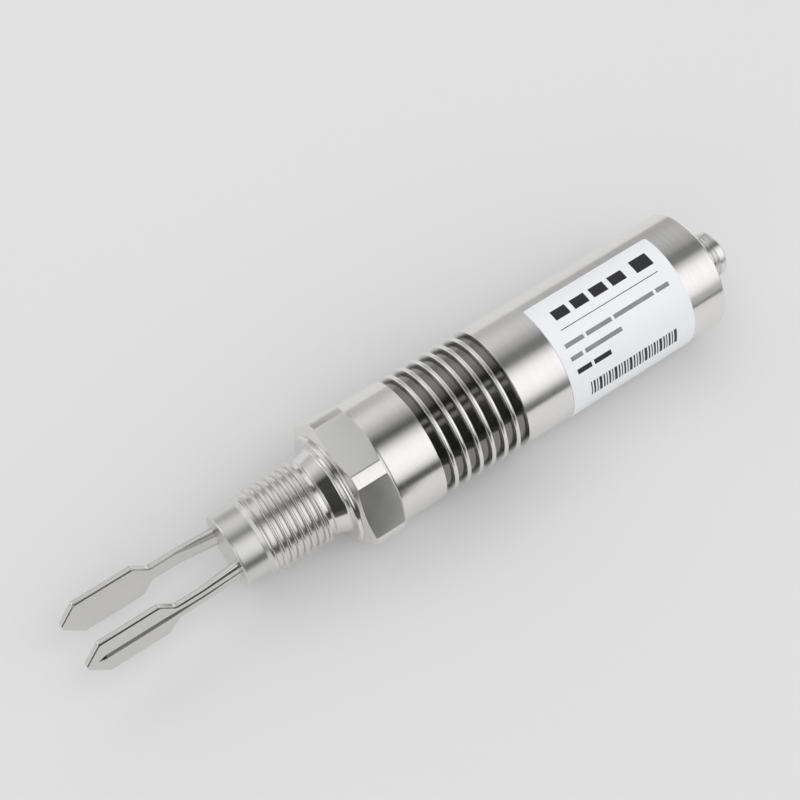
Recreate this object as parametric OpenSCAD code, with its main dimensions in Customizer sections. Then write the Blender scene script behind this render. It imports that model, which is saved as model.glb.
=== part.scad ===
// Tuning fork level switch: a vibrating fork on a threaded process fitting,
// a round finned housing that holds the electronics, and a round threaded plug socket.
// Millimetres. X runs along the axis from the fork to the plug socket and Z is up.
// The origin is on the axis, at the seal face of the process fitting.

/* [Fork] */
// Length of the tines beyond the neck
tine_len = 39.4; // [32:0.1:60]
// Distance between the inner faces of the paddles
paddle_gap = 11.5; // [9:0.1:14]
// Distance between the inner faces where the tines leave the neck
root_gap = 8.8; // [7:0.1:11]
// Thickness of a paddle
paddle_t = 1.5; // [0.9:0.1:2.5]
// Thickness of a tine where it leaves the neck
root_t = 2.4; // [1.5:0.1:3]
// Length of the tapered root of a tine
root_len = 9.6; // [6:0.1:12]
// Width of a paddle
paddle_w = 10.6; // [8:0.1:13]
// Width of the arm between root and paddle
arm_w = 4.4; // [3.5:0.1:6]
// Width of a tine where it leaves the neck
root_w = 5.2; // [4:0.1:6]
// Length from the neck to where the arm starts to widen
arm_len = 16.7; // [14:0.1:20]
// Length over which the arm widens to the paddle
flare_len = 3.4; // [2:0.1:5]
// Radius of the hollow corner between arm and paddle
flare_r = 2; // [0.5:0.1:3]
// Length of the pointed tip
tip_len = 4.3; // [3:0.1:8]
// Width of the blunt end of the tip
tip_w = 1.8; // [0.5:0.1:3]
// Width of the ridge along the outer face
ridge_w = 2.4; // [1:0.1:4]
// Height of the ridge
ridge_h = 0.5; // [0.2:0.1:1]
// Distance from the tip to the point of the ridge
ridge_end = 2.7; // [2:0.1:8]
// Length over which the ridge rises from its point
ridge_ramp = 1.6; // [0.8:0.1:4]
// Turn of the fork about the axis
fork_roll = 76; // [0:1:180]

/* [Neck] */
// Diameter of the neck that carries the fork
neck_d = 18.4; // [16:0.1:22]
// Length of the neck
neck_len = 6; // [4:0.1:30]
// Wall of the neck
neck_wall = 2.6; // [1.5:0.1:3]
// Chamfer at the neck's end
neck_edge = 0.4; // [0.1:0.1:1]
// Thickness of the diaphragm that closes the neck
diaphragm_t = 1.2; // [0.8:0.1:2]
// Diameter of the stud that carries the piezo stack
stud_d = 4; // [3:0.1:5]
// Length of the stud past the stack nut
stud_end = 1; // [0.2:0.1:3]

/* [Process fitting] */
// Outside diameter of the process thread
thread_d = 20.955; // [19:0.005:26]
// Pitch of the process thread
thread_pitch = 1.814; // [1.3:0.001:2.3]
// Length of the threaded stretch
thread_len = 16.3; // [10:0.1:25]
// Width of the flat on each thread crest and root
thread_flat = 0.3; // [0.1:0.05:0.4]
// Length of the lead-in chamfer
lead_in = 0.9; // [0.3:0.1:1.5]
// Diameter of the relief behind the thread
relief_d = 18.4; // [16:0.1:20]
// Length of the relief
relief_len = 3.2; // [1:0.1:5]
// Diameter of the spigot that centres the seal ring
spigot_d = 21.5; // [20:0.1:26]
// Length of that spigot
spigot_len = 1.5; // [0.5:0.1:3]
// Diameter of the collar that presses on the seal ring
collar_d = 28.2; // [26:0.1:31]
// Thickness of the collar
collar_t = 1; // [0.5:0.1:3]
// How far the hexagon's flats stand proud of the housing
hex_proud = 0.3; // [0:0.1:2]
// How far the hexagon's corners stand out past its flats
hex_corner = 1.6; // [1:0.1:2.2]
// Length of the hexagon with its chamfers
hex_len = 10.1; // [8:0.1:16]
// Length of the hexagon's front chamfer
hex_front = 1.2; // [0.5:0.1:2]
// Length of the hexagon's rear chamfer
hex_rear = 1.1; // [0.5:0.1:2]
// Length of the plug that holds the housing
plug_len = 8; // [6:0.1:12]

/* [Housing] */
// Outside diameter of the housing
housing_d = 31.4; // [29:0.1:36]
// Length of the housing
housing_len = 95.5; // [90:0.1:140]
// Length of the plain stretch before the first groove
front_len = 11.9; // [6:0.1:16]
// Number of cooling grooves
groove_count = 7; // [3:1:9]
// Width of a cooling groove
groove_w = 2.4; // [1.5:0.1:3]
// Thickness of a cooling fin
fin_t = 1.15; // [0.8:0.05:2]
// Depth of a cooling groove
groove_depth = 2; // [1:0.1:2.5]
// Wall under the cooling grooves
housing_wall = 2.2; // [1:0.1:3]
// Rounding of the housing's rear edge
rear_edge = 0.6; // [0.2:0.1:1.5]
// Chamfer of the housing's front edge
front_edge = 0.2; // [0.1:0.05:0.5]
// Wall of the housing around the end cap
rear_wall = 2.2; // [1.5:0.1:3]
// Thickness of the end cap
cap_t = 6; // [4:0.1:10]

/* [Label] */
// Plain stretch between the last groove and the label
label_front = 13.1; // [5:0.1:20]
// Plain stretch between the label and the rear edge
label_rear = 10; // [3:0.1:20]
// Thickness of the label film
label_t = 0.12; // [0.05:0.01:0.3]
// Turn from straight up to the label's first edge
label_start = -23; // [-180:1:180]
// Turn that the label covers
label_arc = 141; // [60:1:300]

/* [Plug socket] */
// Outside diameter of the plug thread
socket_d = 12; // [11:0.1:15]
// Pitch of the plug thread
socket_pitch = 1; // [0.75:0.05:1.5]
// Width of the flat on each crest and root of the plug thread
socket_flat = 0.15; // [0.1:0.05:0.25]
// Length of the socket beyond the end cap
socket_len = 9.7; // [7:0.1:14]
// Length of the plain ring at the socket's mouth
mouth_len = 2.9; // [1:0.1:4]
// Chamfer of the mouth ring
mouth_edge = 1; // [0.2:0.1:1]
// Wall between the thread's root and the socket's bore
socket_wall = 1.05; // [0.8:0.05:1.5]
// Thickness of the socket's flange
flange_t = 1.6; // [1.3:0.1:3]
// Rim of the flange outside its seal groove
flange_rim = 0.6; // [0.4:0.1:2]
// Wall of the stem that passes through the end cap
stem_wall = 0.7; // [0.5:0.05:1.2]
// Length of the stem past its nut
stem_end = 0.7; // [0.2:0.1:2]
// Width of the socket's nut across its flats
nut_af = 14; // [13:0.5:18]
// Thickness of that nut
nut_t = 3; // [2:0.1:5]
// Depth of the socket's floor below its mouth
floor_depth = 8; // [5:0.1:8]
// Width of the coding rib
key_w = 1.2; // [0.6:0.1:2]
// Height of the coding rib
key_h = 0.6; // [0.3:0.1:1]
// Diameter of a contact pin
pin_d = 1; // [0.7:0.05:1.2]
// Distance from a pin's axis to the edge of the insert
pin_edge = 1.5; // [1:0.05:1.8]
// Depth of the pins below the mouth
pin_sink = 1; // [0.5:0.1:3]
// Length of the pins' solder tails
tail_len = 2; // [1:0.1:4]

/* [Piezo stack] */
// Thickness of a piezo ring
piezo_t = 2; // [1:0.1:3]
// Thickness of an electrode
electrode_t = 0.2; // [0.1:0.05:0.4]
// Width of an electrode's tab
tab_w = 1.2; // [0.6:0.1:2]
// Thickness of an insulator disc
insulator_t = 0.8; // [0.5:0.1:1.5]
// Thickness of the thrust washer
thrust_t = 1.5; // [1:0.1:3]
// Thickness of the spring washer
spring_t = 0.6; // [0.3:0.1:1]
// Rise of the spring washer's cone
spring_rise = 0.35; // [0.1:0.05:0.8]
// Diameter of the spring washer
spring_d = 9; // [7:0.1:10]
// Width of the stack nut across its flats
stack_nut_af = 7; // [6.5:0.5:9]
// Thickness of the stack nut
stack_nut_t = 3.2; // [2:0.1:5]
// Wall of the insulating sleeve on the stud
sleeve_wall = 0.4; // [0.2:0.05:0.8]
// Diameter of a piezo lead
piezo_lead_d = 0.7; // [0.4:0.05:0.9]
// Clear space on each side of a piezo lead
lead_space = 0.25; // [0.1:0.05:0.5]

/* [Electronics] */
// Thickness of the circuit board
board_t = 1.6; // [0.8:0.1:2]
// Depth of carrier behind the board's edge
carrier_back = 1.4; // [1:0.1:2.5]
// Width of carrier that grips each side of the board's edge
carrier_grip = 1.5; // [1:0.1:3]
// Height of the carrier's rails
rail_h = 4.8; // [3.2:0.1:8]
// Length of the carrier's end rings
ring_len = 4; // [2:0.1:8]
// Wall of the carrier's end rings
ring_wall = 2; // [1.6:0.1:3]
// Distance from the carrier's ends to the board
board_inset = 0.5; // [0.2:0.1:2]
// Length of the piezo leads on the board
lead_on_board = 4.5; // [2:0.1:8]
// Space between the components along the board
part_space = 4; // [2:0.1:6]
// Length of the control chip
chip_len = 10; // [5:0.1:14]
// Width of the control chip's body
chip_w = 7; // [4:0.1:9]
// Height of the control chip's body
chip_h = 2; // [1:0.1:3]
// Diameter of a capacitor
can_d = 5; // [4:0.1:6.5]
// Height of a capacitor
can_h = 6; // [4:0.1:7]
// Length of the relay
relay_len = 14; // [10:0.1:18]
// Width of the relay
relay_w = 7; // [5:0.1:9]
// Height of the relay
relay_h = 6; // [4:0.1:7]
// Diameter of a wire to the plug socket
wire_d = 0.9; // [0.5:0.05:0.95]
// Length of those wires
wire_len = 7; // [4:0.1:10]

/* [Seals and fits] */
// Thickness of the housing's and the end cap's seal rings
seal_d = 1.5; // [1:0.1:2]
// Thickness of the plug socket's seal ring
socket_seal_d = 1; // [0.8:0.1:1.2]
// Side clearance of a seal ring in its groove
seal_side = 0.2; // [0.1:0.05:0.4]
// Clearance between a seal ring and the faces it seals
seal_gap = 0.01; // [0:0.01:0.05]
// Radial clearance of parts that are pushed or screwed together
fit_gap = 0.05; // [0.01:0.01:0.1]
// Clearance of the carrier in the housing and of the board in the carrier
carrier_gap = 0.1; // [0.05:0.01:0.2]
// Film of glue or solder between flat parts
film_gap = 0.02; // [0.01:0.01:0.05]

/* [Hidden] */
$fn = 96;

// How far a cutting shape runs past the face that it opens
past = 1;
// Depth of a pipe thread and of a metric thread, as a share of the pitch
pipe_depth = 0.6403;
metric_depth = 0.6134;
// Steps in the rounded corners of an outline
corner_steps = 6;
// Piezo leads, pins and wires: side of the axis and side of the board
lead_places = [[1, 1], [-1, 1], [1, -1], [-1, -1]];
// One electrode for each lead, and a piezo ring between each two electrodes
electrode_count = len(lead_places);
piezo_count = electrode_count - 1;
capacitor_count = 2;
// The control chip's legs: how many on a side, how thick and how far they reach out
chip_legs = 7;
chip_leg = 0.4;
chip_foot = 1.1;

// Places along the axis, from the fork's end to the plug socket's mouth
thread_x1 = -spigot_len - relief_len;
thread_x0 = thread_x1 - thread_len;
neck_x0 = thread_x0 - neck_len;
stack_x0 = neck_x0 + diaphragm_t;
hex_x1 = collar_t + hex_len;
plug_x1 = hex_x1 + plug_len;
housing_x1 = hex_x1 + housing_len;
fins_x0 = hex_x1 + front_len;
fins_x1 = fins_x0 + groove_count * groove_w + (groove_count - 1) * fin_t;
cap_x0 = housing_x1 - cap_t;
fitting_seal_x = hex_x1 + plug_len / 2;
cap_seal_x = cap_x0 + cap_t / 2;
seal_half = seal_d / 2 + seal_side;
nut_x0 = cap_x0 - nut_t;
stem_x0 = nut_x0 - stem_end;
mouth_x1 = housing_x1 + socket_len;
floor_x = mouth_x1 - floor_depth;

// Process fitting and housing
thread_r = thread_d / 2;
thread_depth = pipe_depth * thread_pitch;
bore_r = neck_d / 2 - neck_wall;
housing_r = housing_d / 2;
hex_af = housing_d + 2 * hex_proud;
hex_bar_r = hex_af / 2 + hex_corner;
housing_bore_r = housing_r - groove_depth - housing_wall;
plug_r = housing_bore_r - fit_gap;
cap_bore_r = housing_r - rear_wall;
cap_r = cap_bore_r - fit_gap;

// Fork
paddle_out = paddle_gap / 2 + paddle_t;
root_out = root_gap / 2 + root_t;

// Plug socket
socket_r = socket_d / 2;
socket_depth = metric_depth * socket_pitch;
socket_bore_r = socket_r - socket_depth - socket_wall;
insert_r = socket_bore_r - fit_gap;
stem_r = socket_bore_r + stem_wall;
stem_hole_r = stem_r + fit_gap;
groove_out = stem_hole_r + flange_rim + socket_seal_d + 2 * seal_side;
flange_r = groove_out + flange_rim;
pin_r = pin_d / 2;
pin_place = (insert_r - pin_edge) / sqrt(2);

// Piezo stack
lead_r = piezo_lead_d / 2;
lead_ring_r = bore_r - lead_space - lead_r;
disc_r = lead_ring_r - lead_r - lead_space;
lead_z = board_t / 2 + film_gap + lead_r;
lead_y = sqrt(pow(lead_ring_r, 2) - pow(lead_z, 2));
sleeve_in_r = stud_d / 2 + fit_gap;
sleeve_r = sleeve_in_r + sleeve_wall;
disc_bore_r = sleeve_r + fit_gap;
pair_t = electrode_t + piezo_t;
pairs_x0 = stack_x0 + insulator_t;
pairs_x1 = pairs_x0 + piezo_count * pair_t + electrode_t;
thrust_x0 = pairs_x1 + insulator_t;
spring_x0 = thrust_x0 + thrust_t;
stack_nut_x0 = spring_x0 + spring_t + spring_rise;
stud_x1 = stack_nut_x0 + stack_nut_t + stud_end;

// Electronics
carrier_x0 = plug_x1;
carrier_x1 = stem_x0 - board_inset;
carrier_r = housing_bore_r - carrier_gap;
board_x0 = carrier_x0 + board_inset;
board_x1 = carrier_x1 - board_inset;
board_y = carrier_r - carrier_back;
board_top = board_t / 2;
lead_x1 = board_x0 + lead_on_board;
chip_x0 = lead_x1 + part_space;
cans_x0 = chip_x0 + chip_len + part_space;
relay_x0 = cans_x0 + capacitor_count * (can_d + part_space);
tail_x0 = stem_x0 - tail_len;
wire_x0 = tail_x0 - wire_len;
wire_r = wire_d / 2;

// A round solid about the axis, from an outline of [radius, x] points
module turned(outline) {
    rotate([0, 90, 0]) rotate_extrude() polygon(outline);
}

// A plain round bar along the axis
module bar(r, x0, x1) {
    translate([x0, 0, 0]) rotate([0, 90, 0]) cylinder(r = r, h = x1 - x0);
}

// A round bar with a bore
module tube(r_in, r_out, x0, x1) {
    difference() {
        bar(r_out, x0, x1);
        bar(r_in, x0 - past, x1 + past);
    }
}

// A six-sided bar that lies on one of its flats
module hex_bar(af, x0, x1) {
    translate([x0, 0, 0]) rotate([0, 90, 0]) rotate([0, 0, 30]) {
        cylinder(r = af / 2 / cos(30), h = x1 - x0, $fn = 6);
    }
}

// A seal ring with a round section, in a groove of depth d that a wall of radius r closes
module seal_ring(r, d, x) {
    translate([x, 0, 0]) rotate([0, 90, 0]) rotate_extrude() {
        translate([r - d / 2, 0]) circle(d = d - 2 * seal_gap);
    }
}

// Number of thread grooves that fit in a stretch
function turns(stretch, pitch, flat) = floor((stretch - flat) / pitch);

// Outline of thread grooves: [radius, x] points from the first groove's edge to the last one's
function grooves(r, depth, pitch, flat, x0, count) = [
    for (i = [0 : count - 1])
        let (x = x0 + flat + i * pitch, flank = pitch / 2 - flat)
            each [[r, x], [r - depth, x + flank], [r - depth, x + flank + flat], [r, x + 2 * flank + flat]]
];

// Points of an arc about [cx, cy]
function arc(cx, cy, r, from, to) = [
    for (i = [0 : corner_steps])
        let (a = from + (to - from) * i / corner_steps)
            [cx + r * cos(a), cy + r * sin(a)]
];

// Half of a tine's outline as [distance from the neck, half width] points
function tine_half() = let (
    rise = (paddle_w - arm_w) / 2,
    turn = atan2(rise, flare_len),
    back = flare_r * tan(turn / 2)
) concat(
    [[-diaphragm_t / 2, root_w / 2], [0, root_w / 2], [root_len, arm_w / 2]],
    arc(arm_len - back, arm_w / 2 + flare_r, flare_r, -90, turn - 90),
    [
        [arm_len + flare_len, paddle_w / 2],
        [tine_len - tip_len, paddle_w / 2],
        [tine_len, tip_w / 2]
    ]
);

// Tine seen from its face, from its edge, and its ridge. The tine lies along +X here,
// with its width along Y and its thickness along Z.
module tine_face() {
    half = tine_half();
    far = [for (i = [len(half) - 1 : -1 : 0]) [half[i][0], -half[i][1]]];
    linear_extrude(height = paddle_out + past) polygon(concat(half, far));
}

module tine_side() {
    rotate([90, 0, 0]) linear_extrude(height = 2 * paddle_w, center = true) polygon([
        [-diaphragm_t, root_gap / 2], [0, root_gap / 2], [root_len, paddle_gap / 2],
        [tine_len + past, paddle_gap / 2], [tine_len + past, paddle_out], [root_len, paddle_out],
        [0, root_out], [-diaphragm_t, root_out]
    ]);
}

module tine_ridge() {
    ridge_x1 = tine_len - ridge_end;
    top = paddle_out + ridge_h;
    intersection() {
        rotate([90, 0, 90]) linear_extrude(height = tine_len) polygon([
            [-ridge_w / 2, paddle_gap / 2 + paddle_t / 2], [ridge_w / 2, paddle_gap / 2 + paddle_t / 2],
            [ridge_w / 2, paddle_out], [0, top], [-ridge_w / 2, paddle_out]
        ]);
        rotate([90, 0, 0]) linear_extrude(height = 2 * ridge_w, center = true) polygon([
            [0, root_gap / 2 + root_t / 2], [root_len, paddle_gap / 2 + paddle_t / 2],
            [ridge_x1, paddle_gap / 2 + paddle_t / 2], [ridge_x1, paddle_out],
            [ridge_x1 - ridge_ramp, top], [root_len, top], [0, root_out]
        ]);
    }
}

module tine() {
    translate([neck_x0, 0, 0]) mirror([1, 0, 0]) {
        intersection() {
            tine_face();
            tine_side();
        }
        tine_ridge();
    }
}

// The fork is one piece: tines, diaphragm, neck and the stud for the stack
module tuning_fork() {
    color("silver") rotate([fork_roll, 0, 0]) union() {
        for (side = [0, 180]) rotate([side, 0, 0]) tine();
        turned([
            [0, neck_x0], [neck_d / 2 - neck_edge, neck_x0], [neck_d / 2, neck_x0 + neck_edge],
            [neck_d / 2, thread_x0], [bore_r, thread_x0], [bore_r, stack_x0], [0, stack_x0]
        ]);
        bar(stud_d / 2, stack_x0 - diaphragm_t / 2, stud_x1);
    }
}

// Threaded fitting with its collar, its hexagon and the plug that holds the housing
module process_fitting() {
    thread_start = thread_x0 + lead_in;
    face_r = thread_r - thread_depth;
    outline = concat(
        [[0, thread_x0], [face_r, thread_x0], [thread_r, thread_start]],
        grooves(thread_r, thread_depth, thread_pitch, thread_flat, thread_start,
            turns(thread_x1 - thread_start, thread_pitch, thread_flat)),
        [
            [thread_r, thread_x1], [relief_d / 2, thread_x1], [relief_d / 2, -spigot_len],
            [spigot_d / 2, -spigot_len], [spigot_d / 2, 0], [collar_d / 2, 0],
            [collar_d / 2, collar_t], [plug_r, collar_t + hex_front],
            [plug_r, fitting_seal_x - seal_half], [housing_bore_r - seal_d, fitting_seal_x - seal_half],
            [housing_bore_r - seal_d, fitting_seal_x + seal_half], [plug_r, fitting_seal_x + seal_half],
            [plug_r, plug_x1], [0, plug_x1]
        ]
    );
    color("lightgray") difference() {
        union() {
            turned(outline);
            intersection() {
                hex_bar(hex_af, collar_t, hex_x1);
                turned([
                    [0, collar_t], [collar_d / 2, collar_t], [hex_bar_r, collar_t + hex_front],
                    [hex_bar_r, hex_x1 - hex_rear], [housing_r, hex_x1], [0, hex_x1]
                ]);
            }
        }
        bar(bore_r, thread_x0 - past, plug_x1 + past);
    }
}

// Seal ring between the fitting and the housing
module fitting_seal() {
    color("dimgray") seal_ring(housing_bore_r, seal_d, fitting_seal_x);
}

// Round housing with its cooling grooves and the seat for the end cap
module finned_housing() {
    pitch = groove_w + fin_t;
    floor_r = housing_r - groove_depth;
    fins = [
        for (i = [0 : groove_count - 1])
            let (x = fins_x0 + i * pitch)
                each [[housing_r, x], [floor_r, x], [floor_r, x + groove_w], [housing_r, x + groove_w]]
    ];
    color("lightgray") turned(concat(
        [[housing_bore_r, hex_x1], [housing_r - front_edge, hex_x1], [housing_r, hex_x1 + front_edge]],
        fins,
        [for (p = arc(housing_x1 - rear_edge, housing_r - rear_edge, rear_edge, 90, 0)) [p[1], p[0]]],
        [[cap_bore_r, housing_x1], [cap_bore_r, cap_x0], [housing_bore_r, cap_x0]]
    ));
}

// Cap that closes the rear of the housing
module end_cap() {
    color("lightgray") turned([
        [stem_hole_r, cap_x0], [cap_r, cap_x0],
        [cap_r, cap_seal_x - seal_half], [cap_bore_r - seal_d, cap_seal_x - seal_half],
        [cap_bore_r - seal_d, cap_seal_x + seal_half], [cap_r, cap_seal_x + seal_half],
        [cap_r, housing_x1], [stem_hole_r, housing_x1]
    ]);
}

// Seal ring between the cap and the housing
module cap_seal() {
    color("dimgray") seal_ring(cap_bore_r, seal_d, cap_seal_x);
}

// Threaded shell of the plug socket: stem, flange, thread and mouth ring
module socket_shell() {
    flange_x1 = housing_x1 + flange_t;
    thread_end = mouth_x1 - mouth_len;
    seal_x1 = housing_x1 + socket_seal_d;
    color("gainsboro") turned(concat(
        [
            [socket_bore_r, stem_x0], [stem_r, stem_x0], [stem_r, housing_x1],
            [stem_hole_r + flange_rim, housing_x1], [stem_hole_r + flange_rim, seal_x1],
            [groove_out, seal_x1], [groove_out, housing_x1],
            [flange_r, housing_x1], [flange_r, flange_x1], [socket_r, flange_x1]
        ],
        grooves(socket_r, socket_depth, socket_pitch, socket_flat, flange_x1,
            turns(thread_end - flange_x1, socket_pitch, socket_flat)),
        [[socket_r, mouth_x1 - mouth_edge], [socket_r - mouth_edge, mouth_x1], [socket_bore_r, mouth_x1]]
    ));
}

// Seal ring under the socket's flange
module socket_seal() {
    color("dimgray") seal_ring(groove_out - seal_side, socket_seal_d, housing_x1 + socket_seal_d / 2);
}

// Nut that holds the plug socket in the end cap
module socket_nut() {
    color("gainsboro") difference() {
        hex_bar(nut_af, nut_x0, cap_x0);
        bar(stem_hole_r, nut_x0 - past, cap_x0 + past);
    }
}

// Insulating insert with its coding rib
module socket_insert() {
    color([0.12, 0.12, 0.13]) difference() {
        union() {
            bar(insert_r, stem_x0, floor_x);
            intersection() {
                bar(insert_r, stem_x0, mouth_x1 - pin_sink);
                translate([stem_x0, -key_w / 2, insert_r - key_h]) {
                    cube([mouth_x1 - pin_sink - stem_x0, key_w, key_h]);
                }
            }
        }
        for (place = lead_places) translate([0, place[0] * pin_place, place[1] * pin_place]) {
            bar(pin_r + film_gap, stem_x0 - past, floor_x + past);
        }
    }
}

// Contact pins with their solder tails
module contact_pins() {
    color("gold") for (place = lead_places) translate([0, place[0] * pin_place, place[1] * pin_place]) {
        bar(pin_r, tail_x0, mouth_x1 - pin_sink);
    }
}

// Blank film label wrapped round the housing
module label() {
    inner_r = housing_r + film_gap;
    color("white") rotate([0, 90, 0]) rotate([0, 0, 180 + label_start]) rotate_extrude(angle = label_arc) {
        translate([inner_r, fins_x1 + label_front]) {
            square([label_t, housing_x1 - label_rear - fins_x1 - label_front]);
        }
    }
}

// Insulator discs at both ends of the piezo rings
module insulator_discs() {
    color("ivory") for (x = [stack_x0, pairs_x1]) tube(disc_bore_r, disc_r, x, x + insulator_t);
}

// Piezo rings that drive and sense the fork
module piezo_rings() {
    color("tan") for (i = [0 : piezo_count - 1]) {
        x = pairs_x0 + i * pair_t + electrode_t;
        tube(disc_bore_r, disc_r, x, x + piezo_t);
    }
}

// Electrode rings, each with a tab for its lead
module electrodes() {
    color("goldenrod") for (i = [0 : electrode_count - 1]) {
        x = pairs_x0 + i * pair_t;
        place = lead_places[i];
        difference() {
            union() {
                bar(disc_r, x, x + electrode_t);
                rotate([atan2(-place[0] * lead_y, place[1] * lead_z), 0, 0]) translate([x, -tab_w / 2, 0]) {
                    cube([electrode_t, tab_w, lead_ring_r + lead_r]);
                }
            }
            bar(disc_bore_r, x - past, x + electrode_t + past);
        }
    }
}

// Insulating sleeve between the stud and the rings
module stud_sleeve() {
    color("ivory") tube(sleeve_in_r, sleeve_r, stack_x0, thrust_x0);
}

// Washer that spreads the nut's load over the rings
module thrust_washer() {
    color("silver") tube(sleeve_in_r, disc_r, thrust_x0, spring_x0);
}

// Cone shaped spring washer that keeps the stack under load
module spring_washer() {
    color("darkgray") turned([
        [sleeve_in_r, spring_x0 + spring_rise], [spring_d / 2, spring_x0],
        [spring_d / 2, spring_x0 + spring_t], [sleeve_in_r, spring_x0 + spring_t + spring_rise]
    ]);
}

// Nut on the stud
module stack_nut() {
    color("silver") difference() {
        hex_bar(stack_nut_af, stack_nut_x0, stack_nut_x0 + stack_nut_t);
        bar(sleeve_in_r, stack_nut_x0 - past, stack_nut_x0 + stack_nut_t + past);
    }
}

// Leads from the electrodes' tabs to the front of the board
module piezo_leads() {
    color("firebrick") for (i = [0 : electrode_count - 1]) {
        place = lead_places[i];
        translate([0, place[0] * lead_y, place[1] * lead_z]) {
            bar(lead_r, pairs_x0 + i * pair_t + electrode_t, lead_x1);
        }
    }
}

// Carrier with two end rings and two rails that grip the board's edges
module board_carrier() {
    rail_y = board_y - carrier_grip;
    slot_z = board_t + 2 * carrier_gap;
    length = carrier_x1 - carrier_x0;
    color("whitesmoke") difference() {
        union() {
            for (x = [carrier_x0, carrier_x1 - ring_len]) {
                tube(carrier_r - ring_wall, carrier_r, x, x + ring_len);
            }
            intersection() {
                bar(carrier_r, carrier_x0, carrier_x1);
                for (side = [0, 1]) mirror([0, side, 0]) translate([carrier_x0, rail_y, -rail_h / 2]) {
                    cube([length, carrier_r - rail_y, rail_h]);
                }
            }
        }
        translate([carrier_x0 - past, -board_y - carrier_gap, -slot_z / 2]) {
            cube([length + 2 * past, 2 * (board_y + carrier_gap), slot_z]);
        }
    }
}

module circuit_board() {
    color("darkgreen") translate([board_x0, -board_y, -board_top]) {
        cube([board_x1 - board_x0, 2 * board_y, board_t]);
    }
}

// Control chip with its legs
module control_chip() {
    leg_pitch = chip_len / chip_legs;
    color([0.1, 0.1, 0.1]) translate([chip_x0, 0, board_top + film_gap]) {
        translate([0, -chip_w / 2, 0]) cube([chip_len, chip_w, chip_h]);
        for (i = [0 : chip_legs - 1]) {
            translate([(i + 0.5) * leg_pitch - chip_leg / 2, -chip_w / 2 - chip_foot, 0]) {
                cube([chip_leg, chip_w + 2 * chip_foot, chip_leg]);
            }
        }
    }
}

// Smoothing capacitors
module capacitors() {
    color("slategray") for (i = [0 : capacitor_count - 1]) {
        translate([cans_x0 + can_d / 2 + i * (can_d + part_space), 0, board_top + film_gap]) {
            cylinder(d = can_d, h = can_h);
        }
    }
}

// Output relay
module relay() {
    color("midnightblue") translate([relay_x0, -relay_w / 2, board_top + film_gap]) {
        cube([relay_len, relay_w, relay_h]);
    }
}

// Wires from the contact pins' tails to the rear of the board
module socket_wires() {
    foot = pin_place - board_top - film_gap;
    color("royalblue") for (place = lead_places) {
        translate([0, place[0] * pin_place, 0]) mirror([0, 0, place[1] < 0 ? 1 : 0]) {
            translate([0, 0, pin_place]) bar(wire_r, wire_x0, tail_x0);
            translate([wire_x0 + wire_d, 0, board_top + film_gap]) {
                cylinder(r = wire_r - film_gap, h = foot);
            }
        }
    }
}

tuning_fork();
process_fitting();
fitting_seal();
finned_housing();
end_cap();
cap_seal();
socket_shell();
socket_seal();
socket_nut();
socket_insert();
contact_pins();
label();
insulator_discs();
piezo_rings();
electrodes();
stud_sleeve();
thrust_washer();
spring_washer();
stack_nut();
piezo_leads();
board_carrier();
circuit_board();
control_chip();
capacitors();
relay();
socket_wires();
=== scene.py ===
import math
from types import SimpleNamespace

import bmesh
import bpy
from mathutils import Matrix, Vector


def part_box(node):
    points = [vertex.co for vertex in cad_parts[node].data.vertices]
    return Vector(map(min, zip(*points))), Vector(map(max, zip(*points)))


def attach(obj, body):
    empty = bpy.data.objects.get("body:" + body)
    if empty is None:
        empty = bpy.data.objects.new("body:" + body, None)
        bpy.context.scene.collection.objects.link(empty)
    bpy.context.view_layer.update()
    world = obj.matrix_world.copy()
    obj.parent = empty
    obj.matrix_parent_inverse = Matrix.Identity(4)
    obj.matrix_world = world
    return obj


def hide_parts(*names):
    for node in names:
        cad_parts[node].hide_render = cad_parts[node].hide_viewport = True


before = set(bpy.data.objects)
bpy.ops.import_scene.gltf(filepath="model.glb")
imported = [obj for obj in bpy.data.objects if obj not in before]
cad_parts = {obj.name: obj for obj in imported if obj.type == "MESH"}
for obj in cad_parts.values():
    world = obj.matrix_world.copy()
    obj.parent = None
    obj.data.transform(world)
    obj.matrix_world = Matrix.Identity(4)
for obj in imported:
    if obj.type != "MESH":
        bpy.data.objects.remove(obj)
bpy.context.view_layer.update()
mm = 0.001
scene = bpy.context.scene
print("frame loaded:", len(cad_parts), "nodes")


# small helpers for node trees
def fillSocket(tree, socket, value):
    if isinstance(value, bpy.types.NodeSocket):
        tree.links.new(value, socket)
    else:
        socket.default_value = value


def addNode(tree, kind, props=None, **inputs):
    node = tree.nodes.new(kind)
    for key, value in (props or {}).items():
        setattr(node, key, value)
    for key, value in inputs.items():
        fillSocket(tree, node.inputs[key.replace("_", " ")], value)
    return node


def useGroup(tree, group, **inputs):
    return addNode(tree, "ShaderNodeGroup", {"node_tree": group}, **inputs).outputs


def calc(tree, operation, *values):
    node = addNode(tree, "ShaderNodeMath", {"operation": operation})
    for socket, value in zip(node.inputs, values):
        fillSocket(tree, socket, value)
    return node.outputs[0]


def remap(tree, value, fromMin, fromMax, toMin, toMax, kind="LINEAR"):
    node = addNode(tree, "ShaderNodeMapRange", {"interpolation_type": kind})
    for socket, part in zip(node.inputs, (value, fromMin, fromMax, toMin, toMax)):
        fillSocket(tree, socket, part)
    return node.outputs[0]


def blendColour(tree, factor, first, second):
    node = addNode(tree, "ShaderNodeMix", {"data_type": "RGBA"})
    for index, value in ((0, factor), (6, first), (7, second)):  # places of the colour sockets
        fillSocket(tree, node.inputs[index], value)
    return node.outputs[2]


def joinGeometry(tree, *parts):
    node = tree.nodes.new("GeometryNodeJoinGeometry")
    for part in parts:
        tree.links.new(part, node.inputs[0])
    return node.outputs[0]


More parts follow.
